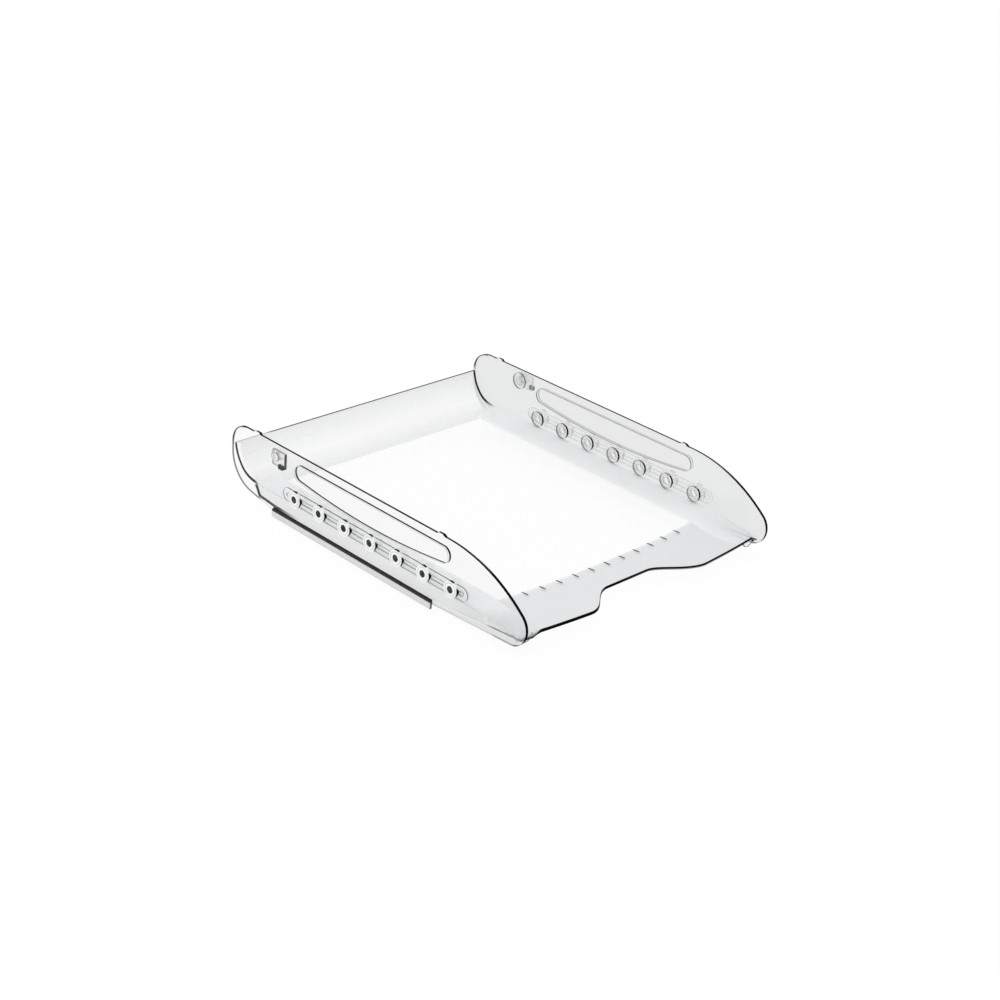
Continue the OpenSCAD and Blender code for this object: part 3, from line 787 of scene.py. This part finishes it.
def pin_profile(low, high):
    """Half section of a catch's pin from axis to axis: ringed head with a dimple, shaft and snap rim."""
    s = settings().socket
    head_r = (high.y - low.y) / 2
    face, snap = low.x, high.x - s.snap_step
    back = face + s.pin_head_t
    dimple = face + s.pin_head_t / 2
    ring = s.pin_ring * head_r
    ring_end, ring_floor = ring + s.groove / 2, face + s.groove_d / 2
    corners = [
        (0, dimple, 0, 0, 0),
        (s.pin_r, dimple, 0.7, 0, 0),
        (s.pin_r, face, 0.7, 0, 0),
        (ring, face, 0.5, 0, 0),
        (ring + s.lean, ring_floor, 0.5, 0, 0),
        (ring_end, ring_floor, 0.1, 0, 0),
        (ring_end + s.lean, face, 0.1, 0, 0),
        (head_r, face, 1, 0, 0),
        (head_r, back, 0.7, 0, 0),
        (s.pin_r, back, 0, 0, 0),
        (s.pin_r, snap, 0, 0, 0),
        (s.pin_r + s.snap_step, snap, 0.7, 0, 0),
        (s.pin_r + s.snap_step / 2, high.x, 0.6, 0, 0),
        (0, high.x, 0, 0, 0),
    ]
    radii = np.full(len(corners), s.round / 2)
    radii[[0, -1]] = 0
    return soft_loop(corners, radii)


# Looks of the pieces. A pair of numbers is the start and end of a smooth step, or the two ends of a
# soft band, in metres where its name ends in x, y, z or r.

def pan_look(tree):
    """The pan: film, which is painted shade over a faint haze, dark edges and palest film as its attributes
    say.
    """
    return kept(tree, "haze_and_shade"), kept(tree, "edge"), kept(tree, "pale")


def mark_look(tree):
    """Ribs and feet: nearly clear, with the dark mark that their attribute says."""
    return settings().finish.mark_cover, kept(tree, "edge"), 0


def skirt_look(tree):
    """Skirts: least film over the foot, most of it just behind the foot, and less again further back; the
    film added behind the foot is painted shade.
    """
    shade_start_y, shade_fade_y = (-0.124, -0.112), (-0.110, -0.070)
    finish = settings().finish
    _, y, _ = place(tree).parts()
    # Painted shade: the further cover behind the foot.
    further = finish.skirt_shade - finish.skirt_shade_fade * y.step(*shade_fade_y)
    return finish.skirt_cover + y.step(*shade_start_y) * further, kept(tree, "edge"), 0


def bush_look(tree):
    """Sockets and pins: dark rings on the heads, painted shade on the head's wall where it faces the front,
    and painted shade in the bore at its back and bottom. The left ones show their outer ends, so there only
    the outer part is dark and the rim round the bore is milky."""
    end_x, outer_x = (0.1283, 0.1287), (0.1235, 0.1245)
    front_part, bore_shade_part = (0.45, 0.75), (-0.1, 0.3)
    left_cover, right_cover, milky_cover = 0.02, 0.06, 0.86
    left_bore_shade, right_bore_shade = 0.955, 0.19
    shade_to_front, shade_to_top = 0.82, 0.57
    x, _, _ = place(tree).parts()
    _, ny, nz = facing(tree)
    right, out = right_half(x), abs(x)
    milky = out.step(*end_x) * (1 - right)
    shown = right.most(out.step(*outer_x))
    # Painted shade: the head's wall is darkened where it faces the front.
    rings = (kept(tree, "ring") + kept(tree, "front") * (-ny).step(*front_part)) * shown
    # Painted shade in the bore: its walls darken where they face up and to the front, most on the left.
    bore_shade_side = (shade_to_top * nz - shade_to_front * ny).step(*bore_shade_part)
    bore = kept(tree, "bore") * bore_shade_side * sided(right, left_bore_shade, right_bore_shade)
    cover = sided(right, left_cover, right_cover) + milky_cover * milky
    return cover, (rings + bore).least(1) * cut_edge(tree), milky


def cheek_rim(tree):
    """Mask of the dark edges round a cheek: the sloping front, the nose, and the outer part of the other
    walls, which is lighter below and low at the rear. The panel's outline is one line on the left and two
    on the right, and the holes for the sockets and the pin are nearly clear."""
    nose_y, chin_y, heel_y = (-0.1475, -0.1425), (-0.129, -0.124), (0.120, 0.127)
    rear_y, rear_z = (0.098, 0.104), (0.036, 0.046)
    outer_x, rear_x, rear_shift = (0.1231, 0.1236), (0.1234, 0.1238), 0.0008
    panel_y, panel_z, panel_soft = (-0.083, 0.0865), (0.0325, 0.0525), 0.0008
    pad_x, gap_x, gap_soft = (0.1245, 0.1249), (0.1236, 0.1249), 0.0002
    holes_y, holes_z, soft_y, soft_z = (-0.095, 0.087), (0.0195, 0.0300), 0.001, 0.0005
    pin_y, pin_z, pin_soft = (0.0974, 0.108), (0.0445, 0.0551), 0.0003
    front_part, level_part, under_part = (0.1, 0.4), (0.85, 0.99), (0.6, 0.9)
    chin_loss, under_loss, pad_loss, hole_loss = 0.35, 0.45, 0.5, 0.95
    left_rear_loss, right_rear_loss = 0.2, 0.6
    x, y, z = place(tree).parts()
    _, ny, nz = facing(tree)
    right, out = right_half(x), abs(x)
    slope = (-ny).step(*front_part) * (1 - (-nz).step(*level_part))
    nose = 1 - y.step(*nose_y)
    rear = y.step(*rear_y) * (1 - z.step(*rear_z))
    outer = out.step(*outer_x) * (1 - rear) + (out - rear_shift * right).step(*rear_x) * rear
    under = (-nz).step(*under_part) * (1 - y.step(*heel_y))
    walls = outer * (1 - under * (chin_loss + under_loss * y.step(*chin_y)))
    rim = slope.most(nose).most(walls) * (1 - rear * sided(right, left_rear_loss, right_rear_loss))
    panel = z.inside(*panel_z, panel_soft) * y.inside(*panel_y, panel_soft)
    one_line = 1 - pad_loss * out.step(*pad_x)
    two_lines = 1 - out.inside(*gap_x, gap_soft)
    rim = rim * (1 - panel) + panel * sided(right, one_line, two_lines)
    holes = z.inside(*holes_z, soft_z) * y.inside(*holes_y, soft_y)
    holes = holes.most(z.inside(*pin_z, pin_soft) * y.inside(*pin_y, pin_soft))
    return rim * (1 - hole_loss * holes) * cut_edge(tree)


def cheek_look(tree):
    """Cheeks: thin film on the left and more on the right, where the extra film is painted shade, with more
    again on the lower front of both as painted reflection and along the left cheek's lower front edge as
    painted shade, and a dark line on the rounding of the rear corner, outside on the left and inside on the
    right."""
    corner_y, corner_z, corner_r = 0.1408, 0.042, (0.0155, 0.0158)
    corner_soft, corner_dark = 0.002, 0.9
    outside_x, inside_x = (0.1249, 0.1251), (0.1229, 0.1231)
    reflection_lean, reflection_z, reflection_y = 0.245, (-0.004, 0.010), (-0.16, -0.10)
    low_shade_lean, low_shade_z = 0.113, (-0.0037, -0.0026)
    finish = settings().finish
    x, y, z = place(tree).parts()
    right, out = right_half(x), abs(x)
    # Painted reflection: more film low on the cheeks' front, below a sloping line.
    painted_reflection = finish.reflection_cover * (1 - (z + reflection_lean * y).step(*reflection_z)) * y.step(*reflection_y)
    # Painted shade: more film on the left cheek below a line low at its front.
    low = finish.low_shade_cover * (1 - (z + low_shade_lean * y).step(*low_shade_z)) * (1 - right)
    # Painted shade: the right cheek's larger cover greys the mirror copy of the left cheek.
    cover = sided(right, finish.cheek_cover, finish.right_shade_cover) + painted_reflection + low
    dy, dz = y - corner_y, z - corner_z
    rounding = ((dy * dy + dz * dz) ** 0.5).step(*corner_r)
    corner = rounding * dy.step(-corner_soft, corner_soft) * dz.step(-corner_soft, corner_soft)
    shown_face = sided(right, out.step(*outside_x), 1 - out.step(*inside_x))
    return cover, cheek_rim(tree).most(corner_dark * corner * shown_face), 0


def track_look(tree):
    """Tracks: fine lines along the plate, and seven rings with a bar of painted shade on their walls at the
    front and a dash on top. On the left, where the outside shows, the plate has more film and the rings are
    white."""
    middle_y, middle_z, half_pitch = -0.0042, 0.0247, 0.0139
    ring_r, wall_r, ends_y = (0.0064, 0.0066), (0.0056, 0.0058), (0.0925, 0.0935)
    plate_x, line_x = (0.1255, 0.1259), (0.1257, 0.1260)
    white_x, tip_x = (0.1276, 0.1280), (0.1283, 0.1287)
    dash_x, dash_soft = (0.1267, 0.1287), 0.0002
    bar_shade_part, top_part = (0.55, 0.75), (0.88, 0.94)
    shade_to_front, shade_to_floor = 0.93, 0.37
    line_dark, end_loss, right_share = 0.92, 0.1, 0.5
    thin_cover, plate_cover, white_cover = 0.03, 0.2, 0.5
    x, y, z = place(tree).parts()
    _, ny, nz = facing(tree)
    right, out = right_half(x), abs(x)
    from_middle, high = abs(y - middle_y), z - middle_z
    along = from_middle.zigzag(half_pitch)
    radius = (along * along + high * high) ** 0.5
    ring = 1 - radius.step(*ring_r)
    # Painted shade: the rings' walls darken where they face the front and down.
    bar = (-shade_to_front * ny - shade_to_floor * nz).step(*bar_shade_part) * (1 - out.step(*tip_x))
    dash = nz.step(*top_part) * out.inside(*dash_x, dash_soft)
    line = (line_dark - end_loss * from_middle.step(*ends_y)) * out.step(*line_x)
    dark = ring * radius.step(*wall_r) * bar.most(dash) + (1 - ring) * line
    white = ring * out.step(*white_x) * (1 - right)
    cover = thin_cover + plate_cover * out.step(*plate_x) * (1 - right) + white_cover * white
    return cover, dark * sided(right, 1, right_share) * cut_edge(tree), 1


def rail_look(tree):
    """Rails: grey film, with a dark ledge and a dark front end."""
    ledge_z, front_part, ledge_dark, front_dark = (0.0047, 0.0051), (0.5, 0.8), 0.95, 0.9
    _, _, z = place(tree).parts()
    _, ny, _ = facing(tree)
    front_end = front_dark * (-ny).step(*front_part)
    return settings().finish.rail_cover, front_end.most(ledge_dark * z.step(*ledge_z)), 0


def catch_look(tree):
    """Catches: a pale lever with dark walls, darker at the front with painted shade, and a dark block."""
    block_x, outside_x, front_part = (0.12775, 0.12795), (0.1274, 0.1277), (0.4, 0.7)
    wall_dark, front_shade_more, right_share, block_dark = 0.7, 0.25, 0.4, 0.95
    thin_cover, outside_cover = 0.05, 0.1
    x, _, _ = place(tree).parts()
    _, ny, _ = facing(tree)
    right, out = right_half(x), abs(x)
    # Painted shade: the walls darken further where they face the front.
    walls = (wall_dark + front_shade_more * (-ny).step(*front_part)) * sided(right, 1, right_share)
    cover = thin_cover + outside_cover * out.step(*outside_x) * (1 - right)
    return cover, (walls * cut_edge(tree)).most(block_dark * out.step(*block_x)), 1


# Operators

class TRAY_OT_pan(bpy.types.Operator):
    """Make the pan with its ribs, skirts and feet"""
    bl_idname = "tray.pan"
    bl_label = "Pan, ribs, skirts and feet"

    def execute(self, context):
        finish = settings().finish
        shell, attributes = pan_shell()
        moulding = plastic("clear_moulding", finish.pan, pan_look)
        pan = add_piece("pan_shell", shell, moulding, attributes=attributes, sharp=50)
        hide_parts("tray_pan")
        ribs, attributes = pan_ribs()
        rib_mark = plastic("rib_mark", finish.pan, mark_look)
        add_piece("floor_ribs", ribs, rib_mark, attributes=attributes)
        clear_skirt = plastic("clear_skirt", finish.side, skirt_look)
        clear_foot = plastic("clear_foot", finish.side, mark_look)
        for name, side in SIDES.items():
            skirt, attributes = skirt_shell(side)
            add_piece(f"{name}_skirt", skirt, clear_skirt, attributes=attributes)
            shell, attributes = foot_shell(name, side)
            foot = add_piece(f"{name}_foot_shell", shell, clear_foot, attributes=attributes)
            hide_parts(f"{name}_foot")
        return {"FINISHED"}


class TRAY_OT_sockets(bpy.types.Operator):
    """Make the sockets and the catches' pins"""
    bl_idname = "tray.sockets"
    bl_label = "Sockets and pins"

    def execute(self, context):
        material = plastic("smoky_bush", settings().finish.bush, bush_look)
        for node in sorted(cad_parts):
            is_pin = node.endswith("_pin")
            if not is_pin and "_socket_" not in node:
                continue
            name = node.split("_")[0]
            side = SIDES[name]
            low, high = mirrored_box(node, side)
            centre = ((low.y + high.y) / 2, (low.z + high.z) / 2)
            profile = pin_profile(low, high) if is_pin else socket_profile(low, high)
            mesh_data, marks = turned(profile, centre, side)
            body = f"{name}_swivel" if is_pin else BODY
            piece = add_piece(f"{node}_turned", mesh_data, material, body, marks)
            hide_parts(node)
        return {"FINISHED"}


class TRAY_OT_sides(bpy.types.Operator):
    """Give the cheeks, tracks, rails and catches soft edges and their clear plastic"""
    bl_idname = "tray.sides"
    bl_label = "Side pieces"

    def execute(self, context):
        finish = settings().finish
        looks = {"cheek": cheek_look, "track": track_look, "rail": rail_look, "catch": catch_look}
        for kind, look in looks.items():
            material = plastic(f"clear_{kind}", finish.side, look)
            for side in SIDES:
                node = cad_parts[f"{side}_{kind}"]
                node.data.materials.clear()
                node.data.materials.append(material)
                weld = node.modifiers.new("Weld", "WELD")
                weld.merge_threshold = 1e-6
                bevel = node.modifiers.new("Soft edges", "BEVEL")
                bevel.width = finish.soften * (2 if kind == "cheek" else 1)
                bevel.segments = 2
                bevel.limit_method = "ANGLE"
                bevel.angle_limit = math.radians(SHARP)
        return {"FINISHED"}


def add_camera(scene, stage):
    """The camera, turned about its target and leaning about its line of sight."""
    a, e, roll = stage.azimuth, stage.elevation, stage.roll
    back = Vector((math.sin(a) * math.cos(e), -math.cos(a) * math.cos(e), math.sin(e)))
    level = Vector((math.cos(a), math.sin(a), 0))
    upright = back.cross(level)
    right = math.cos(roll) * level + math.sin(roll) * upright
    up = math.cos(roll) * upright - math.sin(roll) * level
    turn = Matrix((right, up, back)).transposed().to_4x4()
    camera = bpy.data.objects.new("Camera", bpy.data.cameras.new("Camera"))
    camera.data.lens = stage.lens
    camera.data.sensor_width = stage.sensor
    camera.matrix_world = Matrix.Translation(Vector(stage.target) + back * stage.distance) @ turn
    scene.collection.objects.link(camera)
    scene.camera = camera


def add_floor(scene, stage):
    """A wide pale floor, mostly white by itself so that the lamps hardly shade it."""
    half = stage.floor_w / 2
    corners = [(-half, -half), (half, -half), (half, half), (-half, half)]
    mesh = bpy.data.meshes.new("Floor")
    mesh.from_pydata([(x, y, -stage.floor_drop) for x, y in corners], [], [(0, 1, 2, 3)])
    floor = bpy.data.objects.new("Floor", mesh)
    scene.collection.objects.link(floor)
    material, tree = new_tree("pale_floor")
    shader = Wire.node(tree, "ShaderNodeBsdfPrincipled", values={
        "Base Color": (1 - stage.glow,) * 3 + (1,),
        "Roughness": 0.9,
        "Specular IOR Level": 0,
        "Emission Color": (1, 1, 1, 1),
        "Emission Strength": stage.glow,
    })
    Wire.node(tree, "ShaderNodeOutputMaterial", values={"Surface": shader})
    mesh.materials.append(material)


def add_light(scene):
    """An even white surrounding and two soft lamps, which give no mirror image in the polish."""
    world = bpy.data.worlds.new("Tent")
    world.use_nodes = True
    background = world.node_tree.nodes["Background"]
    background.inputs["Color"].default_value = (1, 1, 1, 1)
    background.inputs["Strength"].default_value = 1
    scene.world = world
    lamp_w = 0.9
    for name, spot, watts in (("Key", (-0.9, 0.5, 1.5), 3), ("Fill", (0.9, -0.9, 1.1), 1.5)):
        lamp = bpy.data.objects.new(name, bpy.data.lights.new(name, "AREA"))
        lamp.data.energy = watts
        lamp.data.size = lamp_w
        lamp.visible_glossy = False
        turn = Vector(spot).to_track_quat("Z", "Y").to_matrix().to_4x4()
        lamp.matrix_world = Matrix.Translation(spot) @ turn
        scene.collection.objects.link(lamp)


class TRAY_OT_stage(bpy.types.Operator):
    """Make the camera, the pale floor and the light"""
    bl_idname = "tray.stage"
    bl_label = "Stage"

    def execute(self, context):
        scene, stage = context.scene, settings().stage
        add_camera(scene, stage)
        add_floor(scene, stage)
        add_light(scene)
        scene.view_settings.view_transform = "Standard"
        return {"FINISHED"}


class TRAY_PT_build(bpy.types.Panel):
    """The tray's pieces and sizes"""
    bl_idname = "TRAY_PT_build"
    bl_label = "Letter tray"
    bl_space_type = "VIEW_3D"
    bl_region_type = "UI"
    bl_category = "Tray"

    def draw(self, context):
        for operator in OPERATORS:
            self.layout.operator(operator.bl_idname)
        for group in ("pan", "ribs", "skirt", "feet", "socket", "finish", "stage"):
            box = self.layout.box()
            box.label(text=group.capitalize())
            values = getattr(context.scene.tray, group)
            for key in values.bl_rna.properties.keys():
                if key not in ("rna_type", "name"):
                    box.prop(values, key)


GROUPS = (PanSizes, RibSizes, SkirtSizes, FootSizes, SocketSizes, Finish, Stage)
OPERATORS = (TRAY_OT_stage, TRAY_OT_pan, TRAY_OT_sockets, TRAY_OT_sides)
CLASSES = (*GROUPS, TraySettings, *OPERATORS, TRAY_PT_build)


def register():
    for cls in CLASSES:
        bpy.utils.register_class(cls)
    bpy.types.Scene.tray = PointerProperty(type=TraySettings)


def unregister():
    del bpy.types.Scene.tray
    for cls in reversed(CLASSES):
        bpy.utils.unregister_class(cls)


def main():
    """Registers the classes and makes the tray."""
    register()
    bpy.ops.tray.stage()
    bpy.ops.tray.pan()
    bpy.ops.tray.sockets()
    bpy.ops.tray.sides()


if __name__ == "__main__":
    main()
